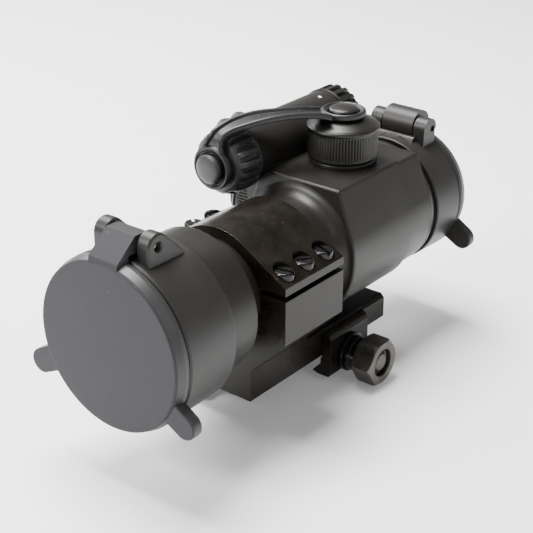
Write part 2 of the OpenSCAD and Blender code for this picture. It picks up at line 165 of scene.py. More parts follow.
M = {}
M["housing_metal"] = material("housing_metal", (0.0105, 0.0096, 0.0080), (0.0165, 0.0152, 0.0130), rough=(0.33, 0.43), metal=0.1, spec=0.36, grain=2600, grain_h=0.012, blotch=45)
M["cap_metal"] = material("cap_metal", (0.0085, 0.0078, 0.0062), (0.016, 0.0148, 0.0122), rough=(0.30, 0.44), metal=0.25, grain=2300, grain_h=0.016, blotch=90, speck=(0.035, 0.033, 0.028))
M["cap_grey"] = material("cap_grey", (0.021, 0.021, 0.021), (0.031, 0.031, 0.031), rough=(0.34, 0.46), grain=2400, grain_h=0.014, blotch=80)
M["mount_paint"] = material("mount_paint", (0.0040, 0.0031, 0.0020), (0.0105, 0.0083, 0.0056), rough=(0.25, 0.38), metal=0.0, spec=0.24, grain=1500, grain_h=0.02, blotch=170, speck=(0.045, 0.026, 0.014))
# lighter, more metallic copy of the mount paint for the bevel strips: painted edge highlight
M["mount_paint_edge"] = material("mount_paint_edge", (0.010, 0.009, 0.0075), (0.075, 0.07, 0.06), rough=(0.25, 0.38), metal=0.5, grain=1500, grain_h=0.012, blotch=230)
M["cover_plastic"] = material("cover_plastic", (0.0135, 0.0124, 0.0112), (0.0195, 0.0180, 0.0165), rough=(0.38, 0.46), grain=3200, grain_h=0.010, blotch=38, spec=0.40)
M["lid_plastic"] = material("lid_plastic", (0.0185, 0.0180, 0.0215), (0.0220, 0.0216, 0.0255), rough=(0.52, 0.60), grain=3400, grain_h=0.008, blotch=30, spec=0.3, speck=(0.050, 0.050, 0.055))
# second copy of the lid finish for the lid faces turned away from the front: painted shade
M["lid_shaded_copy"] = material("lid_shaded_copy", (0.0225, 0.0215, 0.0212), (0.029, 0.028, 0.0275), rough=(0.36, 0.46), grain=3200, grain_h=0.010, blotch=38, spec=0.45)
M["bright_steel"] = material("bright_steel", (0.38, 0.37, 0.35), (0.52, 0.51, 0.49), rough=(0.22, 0.34), metal=1.0, grain=1800, grain_h=0.006, blotch=120, streak=(1, 6, 1))
M["gun_steel"] = material("gun_steel", (0.045, 0.042, 0.036), (0.125, 0.118, 0.103), rough=(0.26, 0.44), metal=0.85, grain=1700, grain_h=0.014, blotch=190, streak=(7, 1, 1))
# lighter, more metallic copy of the gun steel for the bevel strips: painted edge highlight
M["gun_steel_edge"] = material("gun_steel_edge", (0.22, 0.215, 0.20), (0.62, 0.60, 0.56), rough=(0.20, 0.34), metal=1.0, grain=1700, grain_h=0.008, blotch=260)
M["black_steel"] = material("black_steel", (0.0055, 0.0055, 0.0055), (0.013, 0.0125, 0.012), rough=(0.17, 0.28), metal=0.4, grain=1800, grain_h=0.01, blotch=140)
# lighter, more metallic copy of the black steel for the bevel strips: painted edge highlight
M["black_steel_edge"] = material("black_steel_edge", (0.05, 0.05, 0.048), (0.28, 0.275, 0.26), rough=(0.16, 0.28), metal=0.9, grain=1800, grain_h=0.006, blotch=300)
M["seal_rubber"] = material("seal_rubber", (0.010, 0.010, 0.010), (0.017, 0.017, 0.017), rough=(0.5, 0.65), grain=2400, grain_h=0.01)
M["strap_rubber"] = material("strap_rubber", (0.0070, 0.0070, 0.0075), (0.0130, 0.0130, 0.0138), rough=(0.36, 0.48), grain=2200, grain_h=0.018, blotch=110, speck=(0.05, 0.05, 0.053))
M["led_resin"] = material("led_resin", (0.35, 0.03, 0.02), (0.5, 0.06, 0.04), rough=(0.15, 0.22))
M["circuit_board"] = material("circuit_board", (0.02, 0.12, 0.05), (0.03, 0.17, 0.08), rough=(0.35, 0.45))
M["white_paint"] = material("white_paint", (0.72, 0.72, 0.70), (0.85, 0.85, 0.83), rough=(0.5, 0.6))
M["coated_glass"] = glass("coated_glass", (0.80, 0.88, 0.93))
M["red_coated_glass"] = glass("red_coated_glass", (0.95, 0.70, 0.66))
SLOT = {s["node"]: s["material_slot"] for s in frame["record"]["subparts"]}
BODY = {n: b for b, ns in frame["record"]["behaviour"]["bodies"].items() for n in ns}
for node, o in frame["nodes"].items():
    o.data.materials.clear()
    o.data.materials.append(M[SLOT[node]])


# ---------------------------------------------------------------- mesh tools
def mk(name, vs, fs, scale=MM):
    me = bpy.data.meshes.new(name)
    me.from_pydata([tuple(c * scale for c in v) for v in vs], [], fs)
    bm = bmesh.new()
    bm.from_mesh(me)
    bmesh.ops.remove_doubles(bm, verts=bm.verts, dist=1e-8)
    bmesh.ops.recalc_face_normals(bm, faces=bm.faces)
    bm.to_mesh(me)
    bm.free()
    o = bpy.data.objects.new(name, me)
    col.objects.link(o)
    return o


def bake(o):
    dg = bpy.context.evaluated_depsgraph_get()
    me = bpy.data.meshes.new_from_object(o.evaluated_get(dg), depsgraph=dg)
    o.modifiers.clear()
    old = o.data
    o.data = me
    bpy.data.meshes.remove(old)
    return o


def drop(o):
    me = o.data
    bpy.data.objects.remove(o)
    bpy.data.meshes.remove(me)


def boole(o, c, op="DIFFERENCE", keep=False):
    m = o.modifiers.new("b", "BOOLEAN")
    m.operation = op
    m.object = c
    m.solver = "EXACT"
    bake(o)
    if not keep:
        drop(c)
    return o


def bev(o, w, seg=3, ang=32, edge=False):
    if edge:
        # the rounded edges get their own lighter, more metallic finish: a painted edge highlight
        while len(o.data.materials) < 2:
            o.data.materials.append(None)
    m = o.modifiers.new("v", "BEVEL")
    if edge:
        m.material = 1
    m.width = w * MM
    m.segments = seg
    m.limit_method = "ANGLE"
    m.angle_limit = math.radians(ang)
    m.use_clamp_overlap = True
    return bake(o)


def join(name, objs):
    bm = bmesh.new()
    for o in objs:
        bm.from_mesh(o.data)
    me = bpy.data.meshes.new(name)
    bm.to_mesh(me)
    bm.free()
    for o in objs:
        drop(o)
    o = bpy.data.objects.new(name, me)
    col.objects.link(o)
    return o


def smooth(o, ang=38, weighted=True):
    o.data.shade_smooth()
    o.data.set_sharp_from_angle(angle=math.radians(ang))
    if weighted:
        m = o.modifiers.new("w", "WEIGHTED_NORMAL")
        m.keep_sharp = True
        m.weight = 50
        bake(o)
    return o


def fin(o, node, *more, mat=None, edge=None, ang=38, weighted=True):
    smooth(o, ang, weighted)
    if len(o.data.materials) < 2:
        o.data.materials.clear()
        o.data.materials.append(M[mat or SLOT[node]])
    else:
        o.data.materials[0] = M[mat or SLOT[node]]
        # the second slot gets the bevel strips' painted edge highlight, or the lid's painted shade copy
        o.data.materials[1] = M[edge or (SLOT[node] + "_edge")]
    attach(o, BODY[node])
    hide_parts(node, *more)
    return o


def fillet(pts, rad, n=4, closed=True):
    out = []
    k = len(pts)
    for i in range(k):
        p = Vector(pts[i][:2])
        if not closed and i in (0, k - 1):
            out.append(tuple(p))
            continue
        r = pts[i][2] if len(pts[i]) > 2 else rad
        a, c = Vector(pts[i - 1][:2]), Vector(pts[(i + 1) % k][:2])
        u, v = a - p, c - p
        lu, lv = u.length, v.length
        if r <= 0 or lu < 1e-6 or lv < 1e-6 or (abs(p.x) < 1e-9 and (abs(a.x) < 1e-9 or abs(c.x) < 1e-9)):
            out.append(tuple(p))
            continue
        u, v = u / lu, v / lv
        ca = max(-1, min(1, u.dot(v)))
        if ca < -0.999:
            out.append(tuple(p))
            continue
        half = math.acos(ca) / 2
        d = min(r / math.tan(half), lu * 0.45, lv * 0.45)
        s, e = p + u * d, p + v * d
        for j in range(n + 1):
            t = j / n
            q = s * (1 - t) ** 2 + p * 2 * t * (1 - t) + e * t * t
            # points on a quadratic curve from s through the corner to e
            out.append(tuple(q))
    return out


def lathe(name, pts, axis="y", c=(0, 0, H), seg=160, rad=0.25, n=3, mod=None):
    """Turns a closed profile of (radius, along) points about an axis through c."""
    pf = fillet(pts, rad, n)
    vs, idx = [], []
    cx, cy, cz = c
    for r, t in pf:
        row = []
        for k in range(seg):
            th = 2 * math.pi * k / seg
            rr = r if mod is None else mod(r, t, th)
            a, b = rr * math.cos(th), rr * math.sin(th)
            if axis == "y":
                v = (cx + a, t, cz + b)
            elif axis == "z":
                v = (cx + a, cy + b, t)
            else:
                v = (t, cy + a, cz + b)
            row.append(len(vs))
            vs.append(v)
            if r < 1e-9:
                row = row * seg
                break
        idx.append(row)
    fs = []
    m = len(pf)
    for i in range(m):
        A, B = idx[i], idx[(i + 1) % m]
        if A[0] == A[1] and B[0] == B[1]:
            continue
        for k in range(seg):
            q = [A[k], A[(k + 1) % seg], B[(k + 1) % seg], B[k]]
            q = [x for j, x in enumerate(q) if x not in q[:j]]
            if len(q) >= 3:
                fs.append(q)
    return mk(name, vs, fs)


def arc(cx, cy, r, a0, a1, n=24):
    return [(cx + r * math.cos(math.radians(a0 + (a1 - a0) * i / n)), cy + r * math.sin(math.radians(a0 + (a1 - a0) * i / n))) for i in range(n + 1)]


def prism(name, out, axis, a0, a1, bw=0.3, seg=3, ang=32):
    """Draws a flat outline out along an axis. Along y the outline is (x, z); along x it is (y, z); along z it is (x, y)."""
    def P(p, t):
        return (p[0], t, p[1]) if axis == "y" else (t, p[0], p[1]) if axis == "x" else (p[0], p[1], t)
    n = len(out)
    vs = [P(p, a0) for p in out] + [P(p, a1) for p in out]
    fs = [list(range(n)), list(range(2 * n - 1, n - 1, -1))] + [[i, (i + 1) % n, n + (i + 1) % n, n + i] for i in range(n)]
    o = mk(name, vs, fs)
    if bw > 0:
        bev(o, bw, seg, ang)
    return o


def cyl(name, r, axis, a0, a1, c, seg=96, rad=0.0):
    return lathe(name, [(0, a0), (r, a0), (r, a1), (0, a1)], axis, c, seg, rad)


def merged(name, outs, axis, a0, a1, bw=0.35, seg=3, ang=32):
    """Joins flat outlines drawn out along an axis into one solid, then rounds its edges."""
    o = prism(name, outs[0], axis, a0, a1, 0)
    for q in outs[1:]:
        boole(o, prism("q", q, axis, a0, a1, 0), "UNION")
    return bev(o, bw, seg, ang) if bw else o


def turned(o, deg, pivot, axis):
    R = Matrix.Translation(Vector(pivot) * MM) @ Matrix.Rotation(math.radians(deg), 4, axis) @ Matrix.Translation(-Vector(pivot) * MM)
    o.data.transform(R)
    return o


# ---------------------------------------------------------------- front tube
o = lathe("front_tube_piece", [(17.6, -56), (18.2, -56), (18.2, -69.2), (18.7, -69.7), (20.1, -69.7), (20.6, -69.2), (20.6, -40.9), (19.9, -40.1), (15, -38.2), (15, -6.6), (13.6, -6.6), (13.6, 4), (12.4, 4), (12.4, -36), (17.6, -45)], seg=200, rad=0.3)
fin(o, "front_tube")

# ---------------------------------------------------------------- front cover
o = lathe("front_cover_ring_body", [(20.75, -53.1), (23.3, -53.1, 0.5), (23.8, -53.6, 0.5), (24.4, -70.9, 0.4), (23.9, -71.4, 0.4), (18.6, -71.4), (18.6, -69.75), (20.75, -69.75)], seg=220, rad=0.3, n=4)
ears = []
for s in (-1, 1):
    out = arc(FY, FZ, 3.7, 44, 180, 18) + [(FY - 3.7, H + 21.6), (-55.4, H + 21.6)] + [(-56.6, H + 23.2), (-58.6, H + 25.2), (-60.6, H + 27.2)]
    e = prism("ear", out, "x", 5.3 if s > 0 else -9.5, 9.5 if s > 0 else -5.3, 0)
    boole(e, cyl("h", 1.02, "x", -12, 12, (0, FY, FZ), 32))
    bev(e, 0.75, 4, 34)
    ears.append(e)
for e in ears:
    boole(o, e, "UNION")
fin(o, "front_cover_ring")

lid = lathe("front_lid_plate", [(0, -76), (23.2, -76, 0.7), (23.6, -75.4, 0.4), (24.3, -73.2, 0.3), (24.3, -72, 0.3), (23.9, -71.55), (17.6, -71.55), (17.6, -70.7), (16.6, -70.7), (16.6, -73.8), (0, -73.8)], seg=220, rad=0.25, n=4)


def tab(r0, r1, w, y0, y1, deg, bw=0.55):
    out = [(r0, -w / 2 - 0.2)] + arc(r1 - w / 2, 0, w / 2, -90, 90, 20) + [(r0, w / 2 + 0.2)]
    out = [(x, z + H) for x, z in out]
    t = prism("tab", out, "y", y0, y1, bw, 4)
    return turned(t, deg, (0, 0, H), "Y")


blk = merged("blk", [arc(FY, FZ, 2.9, 0, 352.5, 47), [(-75.2, H + 21), (-75.9, H + 22.6), (-75.6, H + 24.4), (-70.2, H + 28.9), (-69, FZ + 2.9), (FY, FZ + 2.9), (FY, H + 25.3), (-71.6, H + 25.3), (-71.6, H + 21)]], "x", -4.9, 4.9, 0)
boole(blk, cyl("h", 1.06, "x", -9, 9, (0, FY, FZ), 32))
boole(blk, cyl("h", 2.3, "x", -2.1, 2.1, (0, FY, FZ), 48))
bev(blk, 0.4, 3, 40)
for q in (tab(20.5, 32, 7, -75.4, -71.9, 30), tab(20.5, 32.5, 7, -75.4, -71.9, 153), blk):
    boole(lid, q, "UNION")


def face_split(o, test):
    """Gives the faces that pass the test the first finish and all other faces the second: lit and shaded copies of one
    finish, painted light and shade by which way the faces point.
    """
    while len(o.data.materials) < 2:
        o.data.materials.append(None)
    for f in o.data.polygons:
        f.material_index = 0 if test(f.center / MM, f.normal) else 1


# front-facing faces keep the lit lid finish, the rim and back faces get the shaded copy: painted light and shade
face_split(lid, lambda c, n: n.y < -0.55 and c.y < -69.5)
fin(lid, "front_cover_lid", edge="lid_shaded_copy")

# ---------------------------------------------------------------- rear cover
o = lathe("rear_ring_body", [(16.85, 47.7), (19.9, 47.7, 0.3), (20.2, 48, 0.4), (20.5, 59.3, 0.4), (20.1, 59.8, 0.3), (15, 59.8), (15, 58.7), (16.85, 58.7)], seg=220, rad=0.25, n=4)
parts = [o]
for s in (-1, 1):
    e = prism("ear", arc(57.0, RZ + 0.05, 3.45, -3, 180, 30) + [(53.4, H + 16.8), (59.7, H + 16.8), (59.75, H + 21.9)], "x", 6 if s > 0 else -10, 10 if s > 0 else -6, 0)
    boole(e, cyl("h", 1.02, "x", -12, 12, (0, RY, RZ), 32))
    bev(e, 0.75, 4, 34)
    parts.append(e)
hb = prism("hb", fillet([(50.7, H + 17.6), (57.6, H + 17.6), (57.6, H + 20.5), (52.4, H + 20.5, 1.0)], 0, 4), "x", -7, 7, 0)
boole(hb, cyl("h", 5.15, "x", -6, 6, (0, RY, RZ), 64))
boole(o, hb, "UNION")
for e in parts[1:]:
    boole(o, e, "UNION")
fin(o, "rear_cover_ring")
lid = lathe("rear_lid_plate", [(0, 64.6), (19.2, 64.6, 0.6), (19.6, 64.2, 0.5), (20.5, 61.6, 0.5), (20.5, 60.4, 0.3), (20.1, 59.95), (14.2, 59.95), (14.2, 59.2), (13.2, 59.2), (13.2, 62.4), (0, 62.4)], seg=220, rad=0.25, n=4)
blk = merged("blk", [arc(RY, RZ, 4.9, 0, 354, 59), [(64.55, H + 17), (64.55, H + 20.4), (62.2, RZ + 3.1), (60.4, RZ + 4.4), (RY, RZ + 4.9), (RY, RZ - 1.2), (59.95, H + 20.9), (59.95, H + 17)]], "x", -5.6, 5.6, 0)
boole(blk, cyl("h", 1.06, "x", -9, 9, (0, RY, RZ), 32))
boole(blk, cyl("h", 2.6, "x", -2.1, 2.1, (0, RY, RZ), 48))
bev(blk, 0.4, 3, 40)
for sx in (-1, 1):
    boole(lid, cyl("h", 3.85, "x", 5.7 if sx > 0 else -11.5, 11.5 if sx > 0 else -5.7, (0, RY, RZ), 64))
for q in (tab(17.5, 28.2, 7, 60.1, 63, 30, 0.5), tab(17.5, 28.2, 7, 60.1, 63, 153, 0.5), blk):
    boole(lid, q, "UNION")
fin(lid, "rear_cover_lid")

# ---------------------------------------------------------------- housing
neck = [(13.65, -6.5), (16, -6.5, 0.3), (16, -4.6, 0)] + [(20.2 - 4.2 * math.cos(math.radians(a)), -1.4 + 4.9 * math.sin(math.radians(a)), 0) for a in range(0, 84, 6)]
o = lathe("housing_body", neck + [(19.7, 3.55, 0), (19.7, 43.9, 0), (19.95, 44.1, 0.1), (19.9, 44.8, 0.5), (19.5, 46.6, 0.5), (17.4, 46.6), (17.4, 47.6), (16.8, 47.6), (16.8, 58.2), (16.4, 58.6), (14.9, 58.6), (14.9, 44.6), (13.65, 44.6)], seg=220, rad=0.25, n=5)


def saddle_outline(top, w=14.0, lobe=1.4):
    r = 20.0
    pts = [(-w, top), (w, top)]
    pts += arc(0, 0, r, 19.5, 0, 8)
    pts += arc(0, -lobe, r, 0, -180, 72) if lobe else arc(0, 0, r, 0, -180, 72)
    pts += arc(0, 0, r, 180, 160.5, 8)
    return [(x, z + H) for x, z in pts]


def rounded_saddle(name, top, y0, y1, bw, lobe=1.4, k=1.0):
    out = [(x * k, H + (z - H) * k) for x, z in saddle_outline(top, lobe=lobe)]
    # round the two upper corners of the outline
    k = fillet([(p[0], p[1], 1.1 if i < 2 else 0) for i, p in enumerate(out)], 0, 6)
    return prism(name, k, "y", y0, y1, bw, 4, 50)


s1 = rounded_saddle("s1", 20.4, 3.4, 35.0, 0.75)
boole(s1, prism("end", [(-30, 0), (30, 0), (30, 70), (-30, 70)], "y", 33.0, 40, 0))
s2 = rounded_saddle("s2", 19.8, 31.0, 44.2, 0.4, 0.0, 0.997)
s3 = rounded_saddle("s3", 19.8, 29.0, 41.5, 1.2, 1.4, 0.9985)
tube = lathe("bt", [(6, 1.5), (8.9, 1.5), (8.9, 43.4), (6, 43.4)], c=(BX, 0, BZZ), seg=128, rad=0.3)
web = prism("web", fillet([(BX - 7.8, BZZ - 4), (BX + 8.2, BZZ - 2.6, 0.5), (-12.4, H + 21.6, 3.0), (-11.6, H + 20.2), (-12, H + 10), (-19.2, H + 5), (-19.6, 44)], 0.0, 6), "y", 3.9, 42, 0.8, 4, 50)
boss = lathe("boss", [(7.05, -15), (12, -15), (12, -22.9), (7.05, -22.9)], axis="x", c=(0, T, H), seg=96, rad=0.5)
for part in (s1, web, tube, boss):
    boole(o, part, "UNION")
boole(o, cyl("h", 13.65, "y", 2, 44.7, (0, 0, H), 128))
boole(o, cyl("h", 6.0, "y", 0, 46, (BX, 0, BZZ), 96))
boole(o, cyl("h", 9.6, "y", 43.4, 45.4, (BX, 0, BZZ), 128))
boole(o, cyl("h", 7.05, "z", H + 10, H + 40, (0, T, 0), 96))
boole(o, cyl("h", 7.05, "x", -40, -10, (0, T, H), 96))
for part in (s2, s3):
    boole(part, cyl("h", 13.65, "y", 2, 50, (0, 0, H), 128))
    boole(part, cyl("h", 9.6, "y", 43.4, 45.4, (BX, 0, BZZ), 128))
    boole(part, cyl("h", 7.05, "z", H + 10, H + 40, (0, T, 0), 96))
    boole(part, cyl("h", 7.05, "x", -40, -10, (0, T, H), 96))
fin(join("main_housing_piece", [o, s2, s3]), "main_housing")


# ---------------------------------------------------------------- turrets
def place_turret(o, side):
    if side:
        R = Matrix.Translation(Vector((-2.5, T, H)) * MM) @ Matrix.Rotation(math.radians(-90), 4, "Y") @ Matrix.Translation(-Vector((0, T, H)) * MM)
        o.data.transform(R)
    return o


def turret(side):
    nm = "windage" if side else "elevation"
    z = H + 20.4
    c = (0, T, 0)
    b = lathe(nm + "_turret_base_piece", [(2.2, z - 8.8), (7, z - 8.8), (7, z), (10.15, z, 0.2), (10.2, z + 1.4, 0.6), (8.1, z + 1.4), (8.1, z + 7), (5.6, z + 7), (5.6, z + 3), (2.2, z + 3)], "z", c, 160, 0.2, 4)
    fin(place_turret(b, side), nm + "_turret_base")
    n = 72
    z0, z1 = z + 2.15, z + 10.1

    def mod(r, t, th):
        if 9.9 < r < 10.45 and z0 - 0.2 <= t <= z1 + 0.2:
            e = min(1.0, max(0.0, (t - z0) / 0.5)) * min(1.0, max(0.0, (z1 - t) / 0.4))
            f = 0.5 + 0.5 * math.cos(n * th)
            return r - 0.36 * e * (f ** 1.4)
        return r
    rows = [(10.42, z0 + (z1 - z0) * i / 14.0, 0) for i in range(15)]
    pf = [(8.2, z + 1.6), (9.9, z + 1.6, 0.15), (10.38, z + 2.0, 0.1)] + rows + [(10.5, z + 10.3, 0.05), (10.8, z + 10.55, 0.1), (10.8, z + 10.95, 0.15), (10.35, z + 11.5, 0.3), (10.0, z + 11.45, 0.1), (9.8, z + 11.65, 0.1), (6.5, z + 13.15, 0.5), (4.6, z + 13.45, 0.15), (4.1, z + 13.5, 0.1), (4.1, z + 15.4, 0.1)]
    pf += [(4.4 * math.cos(math.radians(a)) if a < 90 else 0, z + 15.5 + 1.1 * math.sin(math.radians(a)), 0) for a in (0, 15, 30, 45, 60, 75, 90)]
    pf += [(0, z + 10.6), (8.2, z + 10.6)]
    cap = lathe(nm + "_cap_piece", pf, "z", c, n * 8, 0.2, 3, mod)
    fin(place_turret(cap, side), nm + "_cap", mat="cap_metal", ang=50, weighted=False)


turret(0)
turret(1)


# ---------------------------------------------------------------- battery cap and knob
def ribs(y0, y1, R, floor, n=18):
    """Broad grooves of constant depth from the axis, so they run out in scallops on a cone."""
    def mod(r, t, th):
        if r > floor and y0 - 0.01 <= t <= y1 + 0.01:
            e = min(1.0, max(0.0, (y1 - t) / 0.4))
            f = 0.5 + 0.5 * math.cos(n * th)
            g = min(1.0, max(0.0, (f - 0.38) / 0.26))
            g = g * g * (3 - 2 * g)
            return r - (r - floor) * math.sqrt(e) * g
        return r
    return mod


rows = [(9.5, -4.9 + 5.1 * i / 16.0, 0) for i in range(17)]
cone = [(6.9 + 2.6 * math.sin(math.radians(90 * i / 10.0)), -8.3 + 3.3 * (1 - math.cos(math.radians(90 * i / 10.0))), 0) for i in range(11)]
pf = [(5.6, -8.9, 0.2)] + cone + rows + [(9.5, 0.7, 0.15), (9.2, 1.2, 0.2), (7, 1.2), (7, 6.6), (5.6, 6.6), (5.6, 0), (0, 0)]
dome = [(0, -13.3, 0)] + [(4.4 * math.sin(math.radians(a)), -12.25 - 1.05 * math.cos(math.radians(a)), 0) for a in (15, 30, 45, 60, 75, 90)] + [(4.1, -12.0, 0), (4.1, -9.0, 0.2)]
cap = lathe("battery_cap_piece", dome + pf, "y", (BX, 0, BZZ), 18 * 16, 0.2, 3, ribs(-8.4, 0.2, 9.5, 8.45))
fin(cap, "battery_cap", mat="cap_grey", ang=50, weighted=False)
rows = [(9.3, 44.3 + 6.0 * i / 16.0, 0) for i in range(17)]
pf = [(0, 43.7), (8.9, 43.7, 0.2), (9.3, 44.0, 0.1)] + rows + [(9.1, 50.9, 0.6), (8.0, 51.7, 0.5), (7.4, 52, 0.2), (5.2, 52, 0.1), (5.0, 51.6, 0.1), (0, 51.6)]
k = lathe("brightness_knob_piece", pf, "y", (BX, 0, BZZ), 18 * 16, 0.2, 3, ribs(44.5, 51.9, 9.3, 8.3))
k2 = cyl("kshaft", 2.5, "y", 34.2, 43.8, (BX, 0, BZZ), 48)
fin(join("brightness_knob_all", [k, k2]), "brightness_knob", ang=50, weighted=False)

# ---------------------------------------------------------------- tether strap
arm1 = [(-20.5, -10.3, 60.4), (-19.8, -10.4, 63), (-19.2, -9.3, 65.3), (-18.2, -6.6, 66.7), (-16.4, -2.6, 67.7), (-13.3, 3, 68.5), (-9, 9.5, 68.7), (-5, 15.5, 68.2), (-2.6, 19.4, 67.2)]
face1 = [(0, -1, 0), (0, -1, 0.1), (0, -0.8, 0.6), (0.02, -0.4, 0.9), (0.05, -0.15, 1), (0.05, 0, 1), (0.03, 0.1, 1), (0, 0.1, 1), (0, 0.05, 1)]
wide1 = [8.5, 6, 5.2, 5.6, 7, 7.8, 7.4, 8.2, 10]
arm2 = [(-14.4, -0.6, 67.3), (-21.4, 0.6, 67.2), (-27.8, 4.5, 63.2), (-32.2, 9, 56.5), (-36.2, 13.5, 48.5), (-37.6, 17, 41.5), (-37.7, 19.8, 36.6)]
face2 = [(0, -0.15, 1), (-0.3, -0.1, 1), (-0.8, 0, 0.7), (-1, 0, 0.35), (-1, 0, 0.15), (-1, 0, 0.05), (-1, 0, 0)]
wide2 = [4.0, 6.4, 7, 7, 7, 7.4, 8]


def cr(p, u):
    i = min(int(math.floor(u)), len(p) - 2)
    t = u - i
    g = lambda k: Vector(p[max(0, min(len(p) - 1, k))]) if not isinstance(p[0], (int, float)) else p[max(0, min(len(p) - 1, k))]
    a, b, c, d = g(i - 1), g(i), g(i + 1), g(i + 2)
    return 0.5 * ((b * 2) + (c - a) * t + (a * 2 - b * 5 + c * 4 - d) * t * t + (b * 3 - a - c * 3 + d) * t * t * t)


def band(name, P, F, W, n, low=False):
    m = len(P) - 1
    vs, K = [], None
    for k in range(n + 1):
        u = m * k / n
        c = cr(P, u)
        tg = (cr(P, min(m, u + 0.05)) - cr(P, max(0, u - 0.05))).normalized()
        s = tg.cross(cr(F, u)).normalized()
        nn = s.cross(tg)
        h = cr(W, u) / 2
        q0 = min(1.0, u / 1.5) if low else 1.0
        B = [0.2 + (v - 0.2) * q0 for v in (0.5, 0.85, 1.0, 0.85)]
        sec = [(-h, -0.55), (-h + 0.35, -0.9), (h - 0.35, -0.9), (h, -0.55), (h, B[0] * 0.8), (h - 0.25, B[1]), (h - 0.75, B[2]), (h - 1.25, B[3]), (h - 1.65, 0.0), (-h + 1.65, 0.0), (-h + 1.25, B[3]), (-h + 0.75, B[2]), (-h + 0.25, B[1]), (-h, B[0] * 0.8)]
        K = len(sec)
        vs += [tuple(c + s * q[0] + nn * q[1]) for q in sec]
    fs = [list(range(K)), [n * K + K - 1 - j for j in range(K)]]
    fs += [[k * K + j, (k + 1) * K + j, (k + 1) * K + (j + 1) % K, k * K + (j + 1) % K] for k in range(n) for j in range(K)]
    return mk(name, vs, fs)


LOOP = [(4.78, -0.9), (6.3, -0.9), (6.65, -0.55), (6.65, 0.45), (6.35, 0.85), (6.0, 1.0), (5.6, 0.85), (5.25, 0.4), (4.78, 0.35)]
b1 = band("b1", arm1, face1, wide1, 72)
b2 = band("b2", arm2, face2, wide2, 60, True)
l1 = lathe("l1", [(r, -10.4 - t) for r, t in LOOP], "y", (BX, 0, BZZ), 96, 0.1)
l2 = lathe("l2", [(r, 67.15 + t) for r, t in LOOP], "z", (0, T, 0), 96, 0.1)
l3 = lathe("l3", [(r, -37.65 - t) for r, t in LOOP], "x", (0, T, H), 96, 0.1)
# the bands stop at the buttons' holes
for b in (b1, b2):
    boole(b, cyl("h", 4.78, "y", -16, -4, (BX, 0, BZZ), 64))
    boole(b, cyl("h", 4.78, "z", 62, 74, (0, T, 0), 64))
    boole(b, cyl("h", 4.78, "x", -44, -30, (0, T, H), 64))
st = join("tether_strap_piece", [b1, b2, l1, l2, l3])
m = st.modifiers.new("r", "REMESH")
m.mode = "VOXEL"
m.voxel_size = 0.15 * MM
bake(st)
m = st.modifiers.new("s", "SMOOTH")
m.factor = 0.5
m.iterations = 2
bake(st)
fin(st, "tether_strap", ang=180, weighted=False)

# ---------------------------------------------------------------- mount ring and base
out = fillet([(-11.5, 0, 0.3), (11.5, 0, 0.3), (11.5, 9.8, 1.0), (23.6, 21.9, 0.8), (23.6, H + 3.1, 0.3), (-23.6, H + 3.1, 0.3), (-23.6, 21.9, 0.8), (-11.5, 9.8, 1.0)], 0, 4)
rb = prism("rb", out, "y", -33, -7, 0)
boole(rb, cyl("h", 15.05, "y", -40, 0, (0, 0, H), 160))
for sx in (-1, 1):
    for y in (-28.6, -20, -11.4):
        boole(rb, cyl("h", 1.6, "z", 22, 40, (sx * SX, y, 0), 32))
bar = prism("bar", fillet([(-11.5, 0), (11.5, 0, 0.3), (11.5, 6.6, 0.8), (10.3, 7.8, 0.6), (-10.3, 7.8, 0.6), (-11.5, 6.6, 0.8)], 0, 3), "y", -8, 32.7, 0)
boole(bar, cyl("h", 3.0, "x", -20, 20, (0, CY, CZ), 64))
boole(rb, bar, "UNION")
hook = prism("hook", fillet([(-11.1, 7), (-13.5, 7, 0.8), (-14.6, 5.8, 0.8), (-14.6, -5.4, 0.8), (-13.9, -6.2, 0.5), (-10.6, -6.2, 0.4), (-8.3, -5.6, 0.3), (-11.2, -2.4, 0.6), (-11.2, 0.4)], 0, 3), "y", -32.6, 32.7, 0)
boole(hook, cyl("h", 3.0, "x", -20, 20, (0, CY, CZ), 64))
boole(rb, hook, "UNION")
bev(rb, 0.38, 3, 40, True)
fin(rb, "ring_base")

ta = 58.6
out = arc(0, H, 18.2, ta, 180 - ta, 40) + [(-23.6, H + 6.9), (-23.6, H + 4.6), (23.6, H + 4.6), (23.6, H + 6.9)]
rc = prism("rc", out, "y", -33, -7, 0)
boole(rc, cyl("h", 15.05, "y", -40, 0, (0, 0, H), 160))
bev(rc, 0.35, 4, 24, True)
for s in (-1, 1):
    for y in (-28.6, -20, -11.4):
        boole(rc, lathe("cb", [(0, 39.4), (3.15, 39.4), (3.15, 60), (0, 60)], "z", (s * SX, y, 0), 64, 0))
        boole(rc, cyl("h", 1.7, "z", 30, 50, (s * SX, y, 0), 32))
fin(rc, "ring_cap")
scr = []
for s in (-1, 1):
    for i, y in enumerate((-28.6, -20, -11.4)):
        q = lathe("q", [(0, 24.5), (1.48, 24.5), (1.48, 39.42), (2.9, 39.42), (2.9, 41.3, 0.5), (2.55, 41.75, 0.3), (1.5, 41.82, 0.3), (0, 41.82)], "z", (s * SX, y, 0), 64, 0.1)
        slot = prism("sl", [(-4, -0.42), (4, -0.42), (4, 0.42), (-4, 0.42)], "z", 40.75, 43, 0)
        turned(slot, (24, -38, 71, 10, 55, -20)[i + (3 if s > 0 else 0)], (0, 0, 0), "Z")
        slot.data.transform(Matrix.Translation(Vector((s * SX, y, 0)) * MM))
        boole(q, slot)
        bev(q, 0.12, 2, 40, True)
        scr.append(q)
fin(join("ring_screws_piece", scr), "ring_screws")

